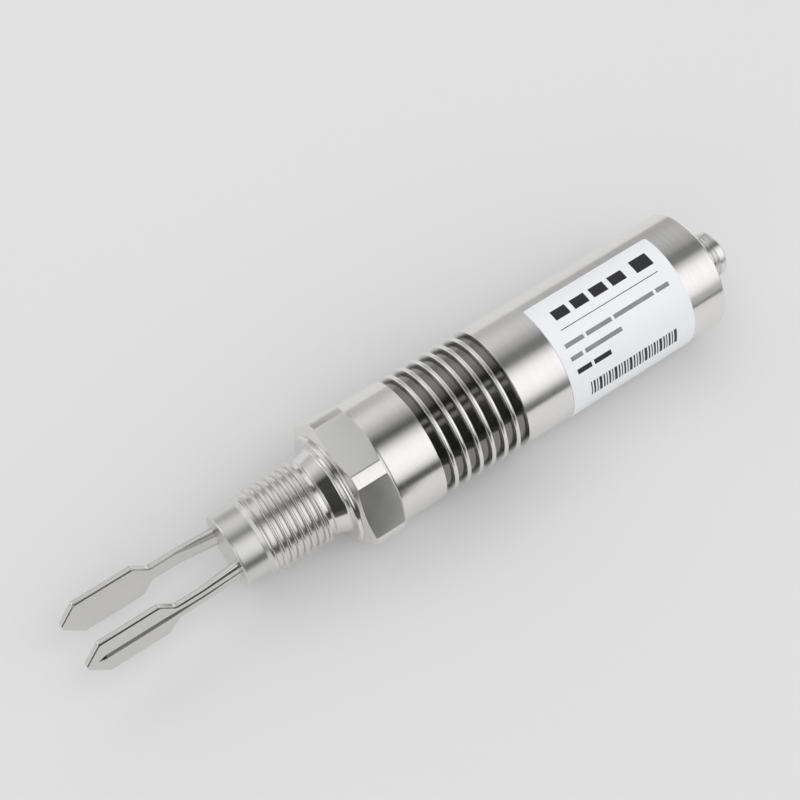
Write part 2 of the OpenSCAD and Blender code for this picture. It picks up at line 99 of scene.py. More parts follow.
def newGroup(name, kind, inputs, outputs):
    tree = bpy.data.node_groups.new(name, kind)
    for way, sockets in (("INPUT", inputs), ("OUTPUT", outputs)):
        for title, shape, *start in sockets:
            socket = tree.interface.new_socket(name=title, in_out=way, socket_type="NodeSocket" + shape)
            if start:
                socket.default_value = start[0]
    return tree, tree.nodes.new("NodeGroupInput").outputs, tree.nodes.new("NodeGroupOutput").inputs


def grey(value):
    return (value, value, value, 1)


# small helpers for meshes, all sizes in millimetres
weldMetres = 1e-8
normalWeight = 60


def addObject(name, data):
    thing = bpy.data.objects.new(name, data)
    scene.collection.objects.link(thing)
    return thing


def newPiece(name, verts, faces, materials=()):
    mesh = bpy.data.meshes.new(name)
    mesh.from_pydata([[c * mm for c in v] for v in verts], [], faces)
    bm = bmesh.new()
    bm.from_mesh(mesh)
    bmesh.ops.remove_doubles(bm, verts=bm.verts, dist=weldMetres)
    bmesh.ops.recalc_face_normals(bm, faces=bm.faces)
    bm.to_mesh(mesh)
    bm.free()
    for material in materials:
        mesh.materials.append(material)
    return addObject(name, mesh)


def settle(piece):
    # turns the modifiers' result into a plain mesh
    deps = bpy.context.evaluated_depsgraph_get()
    mesh = bpy.data.meshes.new_from_object(
        piece.evaluated_get(deps), preserve_all_data_layers=True, depsgraph=deps)
    old = piece.data
    piece.modifiers.clear()
    piece.data = mesh
    bpy.data.meshes.remove(old)
    mesh.name = piece.name
    return piece


def runTree(piece, tree, values):
    sockets = {s.name: s.identifier for s in tree.interface.items_tree if s.in_out == "INPUT"}
    modifier = piece.modifiers.new(tree.name, "NODES")
    modifier.node_group = tree
    for title, value in values.items():
        modifier[sockets[title]] = value
    return settle(piece)


def softenEdges(piece, width, angle, segments):
    bevel = piece.modifiers.new("edges", "BEVEL")
    bevel.width, bevel.segments = width * mm, segments
    bevel.limit_method, bevel.angle_limit = "ANGLE", math.radians(angle)
    bevel.use_clamp_overlap, bevel.miter_outer = True, "MITER_ARC"
    return settle(piece)


def smoothShade(piece, angle=32):
    mesh = piece.data
    mesh.polygons.foreach_set("use_smooth", [True] * len(mesh.polygons))
    mesh.set_sharp_from_angle(angle=math.radians(angle))
    weighted = piece.modifiers.new("normals", "WEIGHTED_NORMAL")
    weighted.keep_sharp, weighted.weight = True, normalWeight
    return settle(piece)


def joinPieces(name, pieces):
    bm = bmesh.new()
    slots = list(pieces[0].data.materials)
    for piece in pieces:
        slots += [m for m in piece.data.materials if m not in slots]
        own = [slots.index(m) for m in piece.data.materials]
        start = len(bm.faces)
        bm.from_mesh(piece.data)
        bm.faces.ensure_lookup_table()
        for face in bm.faces[start:]:
            face.material_index = own[face.material_index]
    mesh = bpy.data.meshes.new(name)
    bm.to_mesh(mesh)
    bm.free()
    for material in slots:
        mesh.materials.append(material)
    for piece in pieces:
        bpy.data.objects.remove(piece)
    return addObject(name, mesh)


def rounded(points, steps=4):
    # points are (x, radius) or (x, radius, rounding); every rounding becomes a short arc
    straight, mostReach = math.radians(176), 0.48
    out = []
    for i, point in enumerate(points):
        here = Vector(point[:2])
        size = point[2] if len(point) > 2 else 0
        back = Vector(points[i - 1][:2]) - here
        on = Vector(points[(i + 1) % len(points)][:2]) - here
        turn = back.angle(on) if back.length and on.length else math.pi
        if not size or turn > straight:
            out.append(tuple(here))
            continue
        reach = min(size / math.tan(turn / 2), mostReach * back.length, mostReach * on.length)
        first, last = here + back.normalized() * reach, here + on.normalized() * reach
        for k in range(steps + 1):
            t = k / steps
            out.append(tuple(first * (1 - t) ** 2 + here * 2 * t * (1 - t) + last * t * t))
    return out


def atTurn(x, turn, radius):
    # turn counts from straight up towards the near side
    return (x, -radius * math.sin(turn), radius * math.cos(turn))


def lathe(name, outline, materials, sides=224):
    # turns a closed outline of (x, radius) points about the X axis
    onAxis = 1e-6
    verts, rings = [], []
    for x, r in outline:
        if r < onAxis:
            rings.append([len(verts)] * sides)
            verts.append((x, 0, 0))
        else:
            rings.append(range(len(verts), len(verts) + sides))
            verts += [atTurn(x, 2 * math.pi * k / sides, r) for k in range(sides)]
    faces = []
    for one, two in zip(rings, rings[1:] + rings[:1]):
        if len(set(one)) == 1 and len(set(two)) == 1:
            continue
        for k in range(sides):
            n = (k + 1) % sides
            corners = (one[k], one[n], two[n], two[k])
            faces.append(list(dict.fromkeys(corners)))  # a point on the axis counts once
    return newPiece(name, verts, faces, materials)


def sealGroove(p, radius):
    front, rear, floor = p.sealAt - p.sealHalf, p.sealAt + p.sealHalf, radius - p.sealDepth
    return [(front, radius), (front, floor), (rear, floor), (rear, radius)]


def place(piece, node):
    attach(piece, "root")
    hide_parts(node)
    return piece


# shader groups that several finishes share
noise = dict(across=30.0, lineDetail=3.0, lineRough=0.65, grainDetail=3.0, grainRough=0.6, cloudDetail=4.0,
             cloudRough=0.55, low=0.3, high=0.7, lineDepth=0.00002, grainDepth=0.00001)


def addNoise(tree, kind, vector, scale):
    node = addNode(tree, "ShaderNodeTexNoise", Vector=vector, Scale=scale, Detail=noise[kind + "Detail"],
                   Roughness=noise[kind + "Rough"])
    return node.outputs["Fac"]


def turnedLinesGroup():
    tree, given, made = newGroup(
        "turnedLines", "ShaderNodeTree",
        [("Vector", "Vector"), ("Lines per metre", "Float", 2500.0), ("Cloud size", "Float", 60.0)],
        [("Lines", "Float"), ("Cloud", "Float")])
    part = addNode(tree, "ShaderNodeSeparateXYZ", Vector=given["Vector"]).outputs
    drawn = addNode(tree, "ShaderNodeCombineXYZ",
                    X=calc(tree, "MULTIPLY", part["X"], given["Lines per metre"]),
                    Y=calc(tree, "MULTIPLY", part["Y"], noise["across"]),
                    Z=calc(tree, "MULTIPLY", part["Z"], noise["across"]))
    tree.links.new(addNoise(tree, "line", drawn.outputs[0], 1.0), made["Lines"])
    tree.links.new(addNoise(tree, "cloud", given["Vector"], given["Cloud size"]), made["Cloud"])
    return tree


def fineGrainGroup():
    tree, given, made = newGroup(
        "fineGrain", "ShaderNodeTree",
        [("Vector", "Vector"), ("Grain", "Float", 6000.0), ("Cloud size", "Float", 80.0)],
        [("Grain", "Float"), ("Cloud", "Float")])
    tree.links.new(addNoise(tree, "grain", given["Vector"], given["Grain"]), made["Grain"])
    tree.links.new(addNoise(tree, "cloud", given["Vector"], given["Cloud size"]), made["Cloud"])
    return tree


def axisDistanceGroup():
    tree, given, made = newGroup(
        "axisDistance", "ShaderNodeTree",
        [("Vector", "Vector"), ("Inner", "Float", 0.0137), ("Outer", "Float", 0.0155),
         ("Last", "Float", 0.05)],
        [("Mask", "Float")])
    part = addNode(tree, "ShaderNodeSeparateXYZ", Vector=given["Vector"]).outputs
    flat = addNode(tree, "ShaderNodeCombineXYZ", Y=part["Y"], Z=part["Z"])
    size = addNode(tree, "ShaderNodeVectorMath", {"operation": "LENGTH"})
    tree.links.new(flat.outputs[0], size.inputs[0])
    mask = remap(tree, size.outputs["Value"], given["Inner"], given["Outer"], 1.0, 0.0, "SMOOTHSTEP")
    front = calc(tree, "LESS_THAN", part["X"], given["Last"])
    tree.links.new(calc(tree, "MULTIPLY", mask, front), made["Mask"])
    return tree


turnedLines = turnedLinesGroup()
fineGrain = fineGrainGroup()
axisDistance = axisDistanceGroup()


def newMaterial(name):
    material = bpy.data.materials.new(name)
    material.use_nodes = True
    tree = material.node_tree
    spot = tree.nodes.new("ShaderNodeTexCoord").outputs["Object"]
    return material, tree, tree.nodes["Principled BSDF"], spot


def spread(tree, value, low, high):
    return remap(tree, value, noise["low"], noise["high"], low, high)


def toneFrom(tree, value, look):
    dark = [c * look["shade"] for c in look["colour"]]
    return blendColour(tree, spread(tree, value, 0.0, 1.0), (*dark, 1), (*look["colour"], 1))


def bumpFrom(tree, shader, height, strength, distance):
    bump = addNode(tree, "ShaderNodeBump", Height=height, Strength=strength, Distance=distance)
    tree.links.new(bump.outputs["Normal"], shader.inputs["Normal"])


def turnedSteel(name, look):
    material, tree, shader, spot = newMaterial(name)
    pattern = useGroup(tree, turnedLines, Vector=spot, Lines_per_metre=look["lines"],
                       Cloud_size=look["cloud"])
    tone = toneFrom(tree, pattern["Lines"], look)
    if "groove" in look:  # painted shade: fins darken to near black towards the floors between them
        inner, outer, colour = look["groove"]
        mask = useGroup(tree, axisDistance, Vector=spot, Inner=inner, Outer=outer)["Mask"]
        tone = blendColour(tree, mask, tone, (*colour, 1))
    tree.links.new(tone, shader.inputs["Base Color"])
    rough = calc(tree, "ADD", spread(tree, pattern["Cloud"], *look["rough"]),
                 spread(tree, pattern["Lines"], 0.0, look["lineRough"]))
    tree.links.new(rough, shader.inputs["Roughness"])
    shader.inputs["Metallic"].default_value = 1.0
    bumpFrom(tree, shader, pattern["Lines"], look["bump"], noise["lineDepth"])
    return material


def grained(name, look, metal):
    material, tree, shader, spot = newMaterial(name)
    pattern = useGroup(tree, fineGrain, Vector=spot, Grain=look["grain"], Cloud_size=look["cloud"])
    tree.links.new(toneFrom(tree, pattern["Cloud"], look), shader.inputs["Base Color"])
    rough = spread(tree, pattern["Cloud" if metal else "Grain"], *look["rough"])
    tree.links.new(rough, shader.inputs["Roughness"])
    shader.inputs["Metallic"].default_value = float(metal)
    bumpFrom(tree, shader, pattern["Grain"], look["bump"], noise["grainDepth"])
    return material


def satinMetal(name, look):
    return grained(name, look, True)


def mouldedPlastic(name, look):
    return grained(name, look, False)


looks = [
    ("forkSteel", satinMetal, dict(
        colour=(0.715, 0.71, 0.7), shade=0.97, grain=5200.0, cloud=90.0, rough=(0.15, 0.19), bump=0.03)),
    ("neckSteel", turnedSteel, dict(
        colour=(0.78, 0.775, 0.76), shade=0.96, lines=3600.0, cloud=60.0, rough=(0.28, 0.32), lineRough=0.03,
        bump=0.05)),
    ("fittingSteel", turnedSteel, dict(
        colour=(0.86, 0.85, 0.84), shade=0.94, lines=3000.0, cloud=70.0, rough=(0.12, 0.16), lineRough=0.03,
        bump=0.06)),
    ("threadSteel", turnedSteel, dict(
        colour=(0.82, 0.805, 0.79), shade=0.94, lines=4000.0, cloud=90.0, rough=(0.21, 0.26), lineRough=0.03,
        bump=0.06)),
    ("flatSteel", satinMetal, dict(
        colour=(0.89, 0.885, 0.865), shade=0.97, grain=4200.0, cloud=140.0, rough=(0.22, 0.27), bump=0.08)),
    # housingSteel carries painted shade: fin walls darken to near black near the floors between the fins
    ("housingSteel", turnedSteel, dict(
        colour=(0.88, 0.87, 0.86), shade=0.95, lines=2400.0, cloud=45.0, rough=(0.13, 0.17), lineRough=0.03,
        bump=0.06, groove=(0.0142, 0.0153, (0.07, 0.068, 0.064)))),
    # dark floor finish: painted shade for the recessed floors between the fins
    ("grooveSteel", turnedSteel, dict(
        colour=(0.27, 0.266, 0.25), shade=0.9, lines=2400.0, cloud=120.0, rough=(0.1, 0.14), lineRough=0.03,
        bump=0.05)),
    ("capSteel", turnedSteel, dict(
        colour=(0.86, 0.85, 0.84), shade=0.94, lines=1200.0, cloud=70.0, rough=(0.2, 0.26), lineRough=0.04,
        bump=0.06)),
    ("socketNickel", turnedSteel, dict(
        colour=(0.86, 0.855, 0.85), shade=0.94, lines=5000.0, cloud=120.0, rough=(0.14, 0.2), lineRough=0.04,
        bump=0.08)),
    ("pinGold", satinMetal, dict(
        colour=(0.83, 0.66, 0.3), shade=0.9, grain=9000.0, cloud=300.0, rough=(0.22, 0.3), bump=0.05)),
    ("filmWhite", mouldedPlastic, dict(
        colour=(0.93, 0.94, 0.965), shade=0.98, grain=4000.0, cloud=120.0, rough=(0.36, 0.44), bump=0.04)),
    ("inkBlack", mouldedPlastic, dict(
        colour=(0.02, 0.02, 0.023), shade=0.8, grain=7000.0, cloud=300.0, rough=(0.5, 0.6), bump=0.03)),
    ("inkGrey", mouldedPlastic, dict(
        colour=(0.3, 0.3, 0.31), shade=0.8, grain=7000.0, cloud=300.0, rough=(0.5, 0.6), bump=0.03)),
]
finishes = {name: make(name, look) for name, make, look in looks}
print("finishes made:", len(finishes))


# Geometry Nodes: a thread ridge swept along a helix about the X axis
def threadTree():
    perTurn, cornerSteps, thinEnd = 96, 3, 0.02
    tree, given, made = newGroup(
        "threadRidge", "GeometryNodeTree",
        [("Geometry", "Geometry"), ("Turns", "Float"), ("Pitch", "Float"), ("Root radius", "Float"),
         ("Height", "Float"), ("Base", "Float"), ("Crest", "Float"), ("Rounding", "Float"),
         ("Start", "Float"), ("Run in", "Float"), ("Run out", "Float"), ("Finish", "Material")],
        [("Geometry", "Geometry")])
    path = addNode(tree, "GeometryNodeCurveSpiral", Resolution=perTurn, Rotations=given["Turns"],
                   Start_Radius=given["Root radius"], End_Radius=given["Root radius"],
                   Height=calc(tree, "MULTIPLY", given["Turns"], given["Pitch"]))
    upright = addNode(tree, "GeometryNodeSetCurveNormal", {"mode": "Z_UP"}, Curve=path.outputs[0])
    section = addNode(tree, "GeometryNodeCurvePrimitiveQuadrilateral", {"mode": "TRAPEZOID"},
                      Bottom_Width=given["Base"], Top_Width=given["Crest"], Offset=0.0,
                      Height=given["Height"])
    soft = addNode(tree, "GeometryNodeFilletCurve", {"mode": "POLY"}, Curve=section.outputs[0],
                   Count=cornerSteps, Radius=given["Rounding"], Limit_Radius=True)
    lift = addNode(tree, "ShaderNodeCombineXYZ", X=calc(tree, "DIVIDE", given["Height"], -2.0))
    turned = addNode(tree, "GeometryNodeTransform", Geometry=soft.outputs[0], Translation=lift.outputs[0],
                     Rotation=(0, 0, math.radians(90)))
    factor = tree.nodes.new("GeometryNodeSplineParameter").outputs["Factor"]
    rest = calc(tree, "SUBTRACT", 1.0, factor)
    rise = remap(tree, factor, 0.0, given["Run in"], thinEnd, 1.0, "SMOOTHSTEP")
    fall = remap(tree, rest, 0.0, given["Run out"], thinEnd, 1.0, "SMOOTHSTEP")
    sweep = addNode(tree, "GeometryNodeCurveToMesh", Curve=upright.outputs[0],
                    Profile_Curve=turned.outputs[0], Scale=calc(tree, "MULTIPLY", rise, fall), Fill_Caps=True)
    along = addNode(tree, "ShaderNodeCombineXYZ", X=given["Start"])
    laid = addNode(tree, "GeometryNodeTransform", Geometry=sweep.outputs[0], Translation=along.outputs[0],
                   Rotation=(0, math.radians(90), 0))
    coloured = addNode(tree, "GeometryNodeSetMaterial", Geometry=laid.outputs[0], Material=given["Finish"])
    both = joinGeometry(tree, coloured.outputs[0], given["Geometry"])
    real = addNode(tree, "GeometryNodeRealizeInstances", Geometry=both)
    tree.links.new(real.outputs[0], made["Geometry"])
    return tree


# Geometry Nodes: a row of cooling fins on a round housing
def finTree():
    sides, cornerSteps = 224, 6
    tree, given, made = newGroup(
        "coolingFins", "GeometryNodeTree",
        [("Geometry", "Geometry"), ("Count", "Int"), ("Pitch", "Float"), ("First", "Float"),
         ("Thickness", "Float"), ("Outer radius", "Float"), ("Depth", "Float"), ("Rounding", "Float"),
         ("Finish", "Material")],
        [("Geometry", "Geometry")])
    middle = calc(tree, "SUBTRACT", given["Outer radius"], calc(tree, "DIVIDE", given["Depth"], 2.0))
    ring = addNode(tree, "GeometryNodeCurvePrimitiveCircle", {"mode": "RADIUS"}, Resolution=sides,
                   Radius=middle)
    upright = addNode(tree, "GeometryNodeSetCurveNormal", {"mode": "Z_UP"}, Curve=ring.outputs[0])
    section = addNode(tree, "GeometryNodeCurvePrimitiveQuadrilateral", {"mode": "RECTANGLE"},
                      Width=given["Depth"], Height=given["Thickness"])
    soft = addNode(tree, "GeometryNodeFilletCurve", {"mode": "POLY"}, Curve=section.outputs[0],
                   Count=cornerSteps, Radius=given["Rounding"], Limit_Radius=True)
    sweep = addNode(tree, "GeometryNodeCurveToMesh", Curve=upright.outputs[0], Profile_Curve=soft.outputs[0])
    laid = addNode(tree, "GeometryNodeTransform", Geometry=sweep.outputs[0],
                   Rotation=(0, math.radians(90), 0))
    start = addNode(tree, "ShaderNodeCombineXYZ", X=given["First"])
    step = addNode(tree, "ShaderNodeCombineXYZ", X=given["Pitch"])
    row = addNode(tree, "GeometryNodeMeshLine", {"mode": "OFFSET"}, Count=given["Count"],
                  Start_Location=start.outputs[0], Offset=step.outputs[0])
    copies = addNode(tree, "GeometryNodeInstanceOnPoints", Points=row.outputs[0], Instance=laid.outputs[0])
    real = addNode(tree, "GeometryNodeRealizeInstances", Geometry=copies.outputs[0])
    coloured = addNode(tree, "GeometryNodeSetMaterial", Geometry=real.outputs[0], Material=given["Finish"])
    tree.links.new(joinGeometry(tree, coloured.outputs[0], given["Geometry"]), made["Geometry"])
    return tree


threadRidge = threadTree()
coolingFins = finTree()


def addThread(piece, t, root, first, turns, finish):
    height = t.threadDepth + t.threadSink
    slope = (t.pitch - 2 * t.crestFlat) / 2 / t.threadDepth
    return runTree(piece, threadRidge, {
        "Turns": turns, "Pitch": t.pitch * mm, "Root radius": (root - t.threadSink) * mm,
        "Height": height * mm, "Base": (t.crestFlat + 2 * slope * height) * mm, "Crest": t.crestFlat * mm,
        "Rounding": t.crestRound * mm, "Start": first * mm, "Run in": t.runIn, "Run out": t.runOut,
        "Finish": finishes[finish]})


# fork: two tines with paddles, on a short neck
fork = dict(length=39.4, rootLength=9.6, armLength=16.7, flareLength=3.4, flareRound=2.0, tipLength=4.3,
            tipWidth=1.8, tipRound=0.5, paddleWidth=10.6, paddleRound=0.9, armWidth=4.4, rootWidth=5.2,
            paddleGap=11.5, paddleThick=1.5, rootGap=8.8, rootThick=2.4, sunk=0.6, roll=76,
            edge=0.26, rootEdge=0.7, bevel=0.36, rootBevel=1.1, bevelTurn=20,
            edgeOfThick=0.3, edgeOfWidth=0.6, bevelOfWidth=0.4,  # most that edges and bevels may take
            ridgeWidth=1.6, ridgeHeight=0.355, ridgeEnd=2.7, ridgeRamp=1.8, ridgeSlim=13.0, ridgeFull=20.0,
            slimLeast=0.5, ridgeTip=0.1, ridgeOfFlat=0.9, stations=(24, 30), flareSteps=8, edgeSteps=5,
            smooth=19.5, neckStart=-27.0, neckEnd=-21.0, neckRadius=9.2, neckRound=0.6, boreRadius=6.6,
            floorAt=-25.8, studRadius=2.0, studRound=0.3)


def tineHalf(f):
    # half outline of a tine as (distance from the root, half width)
    near = 1e-6
    rise = (f.paddleWidth - f.armWidth) / 2
    turn = math.atan2(rise, f.flareLength)
    back = f.flareRound * math.tan(turn / 2)
    points = [(-f.sunk, f.rootWidth / 2), (0, f.rootWidth / 2), (f.rootLength, f.armWidth / 2)]
    for k in range(f.flareSteps + 1):
        a = turn * k / f.flareSteps
        points.append((f.armLength - back + f.flareRound * math.sin(a),
                       f.armWidth / 2 + f.flareRound * (1 - math.cos(a))))
    ends = rounded([points[-1], (f.armLength + f.flareLength, f.paddleWidth / 2, f.paddleRound),
                    (f.length - f.tipLength, f.paddleWidth / 2, f.paddleRound),
                    (f.length, f.tipWidth / 2, f.tipRound), (f.length, 0)])
    points += ends[1:-1]
    ridgeStop = f.length - f.ridgeEnd
    stops = [f.rootLength / 2, f.ridgeSlim, f.ridgeFull, ridgeStop - f.ridgeRamp, ridgeStop - f.ridgeRamp / 2,
             ridgeStop, *f.stations]
    for s in stops:
        for (s0, h0), (s1, h1) in zip(points, points[1:]):
            if s0 + near < s < s1 - near:
                points.insert(points.index((s1, h1)), (s, h0 + (h1 - h0) * (s - s0) / (s1 - s0)))
                break
    return points


def tine(f, side):
    ridgeStop = f.length - f.ridgeEnd
    turn = math.radians(f.roll + side)
    quarter = [math.radians(90 / f.edgeSteps * k) for k in range(f.edgeSteps + 1)]
    slope = math.tan(math.radians(f.bevelTurn))
    verts, faces = [], []
    for s, h in tineHalf(f) + [(f.length + f.edge / 2, f.tipWidth / 2 - f.edge)]:
        share = min(1, max(0, s) / f.rootLength)
        inside = (f.rootGap + (f.paddleGap - f.rootGap) * share) / 2
        outside = inside + f.rootThick + (f.paddleThick - f.rootThick) * share
        if s > f.length:
            s, inside, outside = f.length, inside + f.edge, outside - f.edge
        elif s == f.length:
            s -= f.edge
        fade = min(1, max(0, (ridgeStop - s) / f.ridgeRamp))
        bend = min(f.edge + (f.rootEdge - f.edge) * (1 - share), f.edgeOfThick * (outside - inside),
                   f.edgeOfWidth * h)
        grown = min(1, max(0, (s - f.ridgeSlim) / (f.ridgeFull - f.ridgeSlim)))
        slim = f.slimLeast + (1 - f.slimLeast) * grown
        slim *= f.slimLeast + (1 - f.slimLeast) * share
        reach = h - bend
        cutOut = min(f.bevel, f.bevelOfWidth * reach)
        cutIn = min(f.bevel + (f.rootBevel - f.bevel) * (1 - share), f.bevelOfWidth * reach)
        stepOut, stepIn = cutOut * slope, cutIn * slope
        foot = min(f.ridgeWidth / 2 * slim * (f.ridgeTip + (1 - f.ridgeTip) * fade),
                   f.ridgeOfFlat * (reach - cutOut))
        high, low = outside - stepOut - bend, inside + stepIn + bend
        ring = [(reach + bend * math.cos(q), high + bend * math.sin(q)) for q in quarter]
        ring += [(reach - cutOut, outside), (foot, outside), (0, outside + f.ridgeHeight * slim * fade),
                 (-foot, outside), (cutOut - reach, outside)]
        ring += [(-reach - bend * math.sin(q), high + bend * math.cos(q)) for q in quarter]
        ring += [(-reach - bend * math.cos(q), low - bend * math.sin(q)) for q in quarter]
        ring += [(cutIn - reach, inside), (reach - cutIn, inside)]
        ring += [(reach + bend * math.sin(q), low - bend * math.cos(q)) for q in quarter]
        for w, n in ring:
            verts.append((f.neckStart - s, w * math.cos(turn) - n * math.sin(turn),
                          w * math.sin(turn) + n * math.cos(turn)))
    size = len(ring)
    for i in range(len(verts) // size - 1):
        for k in range(size):
            n = (k + 1) % size
            faces.append((i * size + k, i * size + n, (i + 1) * size + n, (i + 1) * size + k))
    faces += [tuple(range(size)), tuple(range(len(verts) - size, len(verts)))]
    return newPiece("tine", verts, faces, [finishes["forkSteel"]])


def forkPiece(f):
    tines = [tine(f, side) for side in (0, 180)]
    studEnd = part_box("tuning_fork")[1][0] / mm
    neck = lathe("neck", rounded([
        (f.neckStart, 0), (f.neckStart, f.neckRadius, f.neckRound), (f.neckEnd, f.neckRadius),
        (f.neckEnd, f.boreRadius), (f.floorAt, f.boreRadius), (f.floorAt, f.studRadius),
        (studEnd, f.studRadius, f.studRound), (studEnd, 0)]), [finishes["neckSteel"]])
    whole = joinPieces("forkBody", tines + [neck])
    return place(smoothShade(whole, f.smooth), "tuning_fork")


forkBody = forkPiece(SimpleNamespace(**fork))
print("fork made:", len(forkBody.data.polygons), "faces")


# process fitting: pipe thread, relief, spigot, collar, hexagon and inner plug
fitting = dict(threadStart=-21.0, threadEnd=-4.7, threadRadius=10.4775, threadDepth=0.86, threadSink=0.25,
               pitch=1.814, crestFlat=0.52, crestRound=0.3, crestBreak=0.15, runIn=0.15, runOut=0.004,
               lead=1.15, leadFoot=9.2, leadBend=0.15, leadCrest=10.05, leadRound=0.3,
               reliefRadius=9.2, reliefRound=0.35, stepStart=-3.75, stepEnd=-3.4, stepRadius=9.75,
               stepRound=0.4, spigotRadius=10.75, collarRadius=14.1, collarEnd=1.0, faceRound=0.6,
               collarRound=0.18, hexEnd=11.1, hexFront=1.2, hexRear=1.1, acrossFlats=32.0, barRadius=17.6,
               housingRadius=15.7, hexWall=0.5, hexOverlap=0.3, hexTuck=0.25, hexForward=0.08,
               cornerSteps=3, flatSteps=14, edge=0.14, edgeAngle=17, edgeSteps=2,
               flatLevel=0.05, flatDepth=0.5, flatTurn=1.5,  # which faces get the flats' finish
               plugRadius=11.45, plugEnd=19.1, plugRound=0.3, shoulder=0.8, shoulderShort=0.5, boreRadius=6.6,
               sealAt=15.1, sealHalf=0.95, sealDepth=1.45, smooth=24)


def hexCollar(f):
    # rows of points round the hexagon: each angle gets its own chamfer ends, so the flats end in true curves
    limit = math.degrees(math.acos(f.acrossFlats / 2 / f.barRadius))
    local = [-30 + (30 - limit) * k / f.cornerSteps for k in range(f.cornerSteps)]
    local += [-limit + 2 * limit * k / f.flatSteps for k in range(f.flatSteps + 1)]
    local += [limit + (30 - limit) * k / f.cornerSteps for k in range(1, f.cornerSteps)]
    angles = [60 * side + a for side in range(6) for a in local]
    front = (f.barRadius - f.collarRadius) / f.hexFront
    rear = (f.barRadius - f.housingRadius) / f.hexRear
    inner, tucked = f.plugRadius - f.hexWall, f.collarRadius - f.hexTuck
    verts, faces = [], []
    for a in angles:
        rel = (a + 30) % 60 - 30
        size = min(f.acrossFlats / 2 / math.cos(math.radians(rel)), f.barRadius)
        rows = ((f.collarEnd - f.hexOverlap, inner), (f.collarEnd - f.hexOverlap, tucked),
                (f.collarEnd, tucked),
                (f.collarEnd + (size - f.collarRadius + f.hexTuck) / front - f.hexForward, size),
                (f.hexEnd - (size - f.housingRadius) / rear, size), (f.hexEnd, f.housingRadius),
                (f.hexEnd, inner))
        verts += [atTurn(x, math.radians(a), r) for x, r in rows]
    ring, count = len(rows), len(angles)
    for i in range(count):
        for k in range(ring):
            a, b = i * ring, (i + 1) % count * ring
            n = (k + 1) % ring
            faces.append((a + k, b + k, b + n, a + n))
    piece = newPiece("hexagon", verts, faces, [finishes["fittingSteel"], finishes["flatSteel"]])
    return softenEdges(piece, f.edge, f.edgeAngle, f.edgeSteps)


def markFlats(piece, f):
    # the six flats get the second finish
    for face in piece.data.polygons:
        normal, centre = face.normal, face.center / mm
        depth = f.acrossFlats / 2 - Vector((centre.y, centre.z)).length
        if abs(normal.x) > f.flatLevel or depth > f.flatDepth:
            continue
        turn = math.degrees(math.atan2(-normal.y, normal.z)) % 60
        if min(turn, 60 - turn) < f.flatTurn:
            face.material_index = 1


def fittingPiece(f):
    crest, root = f.threadRadius, f.threadRadius - f.threadDepth
    flank = f.pitch / 2 - f.crestFlat
    ringStart = f.threadStart + f.lead
    shoulder, shoulderEnd = f.plugRadius + f.shoulder, f.hexEnd - f.shoulderShort
    core = lathe("core", rounded([
        (f.threadStart, f.boreRadius), (f.threadStart, f.leadFoot),
        (f.threadStart + f.leadBend, f.leadFoot, f.leadRound), (ringStart, f.leadCrest, f.leadRound),
        (ringStart + f.crestFlat, f.leadCrest, f.crestBreak), (ringStart + f.crestFlat + flank, root),
        (f.threadEnd - f.crestFlat - 2 * flank, root),
        (f.threadEnd - f.crestFlat - flank, crest, f.crestBreak), (f.threadEnd - flank, crest, f.crestBreak),
        (f.threadEnd, f.reliefRadius), (f.stepStart, f.reliefRadius, f.reliefRound),
        (f.stepEnd, f.stepRadius, f.stepRound), (0, f.spigotRadius, f.faceRound),
        (0, f.collarRadius, f.faceRound), (f.collarEnd, f.collarRadius, f.collarRound),
        (f.collarEnd, shoulder), (shoulderEnd, shoulder), (shoulderEnd, f.plugRadius),
        *sealGroove(f, f.plugRadius), (f.plugEnd, f.plugRadius, f.plugRound), (f.plugEnd, f.boreRadius)]),
        [finishes["fittingSteel"], finishes["threadSteel"], finishes["neckSteel"]])
    for face in core.data.polygons:
        x = face.center.x
        face.material_index = int(x < (f.threadEnd - flank) * mm) + int(x < ringStart * mm)
    first = ringStart + f.crestFlat / 2
    turns = (f.threadEnd - flank - f.crestFlat / 2 - first) / f.pitch
    core = addThread(core, f, root, first, turns, "threadSteel")
    hexagon = hexCollar(f)
    markFlats(hexagon, f)
    whole = joinPieces("fittingBody", [core, hexagon])
    return place(smoothShade(whole, f.smooth), "process_fitting")


fittingBody = fittingPiece(SimpleNamespace(**fitting))
print("fitting made:", len(fittingBody.data.polygons), "faces")


# housing: round tube with cooling fins and a seat for the end cap
housing = dict(start=11.1, end=106.6, radius=15.7, finStart=23.0, grooves=7, grooveWidth=2.4, finThick=1.15,
               depth=2.0, finRound=0.45, finSink=0.3, grooveRound=0.16, floorSlope=0.55, floorRound=0.15,
               floorDepth=0.5, floorProud=0.06,  # which faces get the floors' dark finish, painted shade
               boreRadius=11.5, capBore=13.5, capStart=100.6, capRound=0.15, frontRound=0.2, rearRound=0.6,
               arcSteps=5, sides=256)


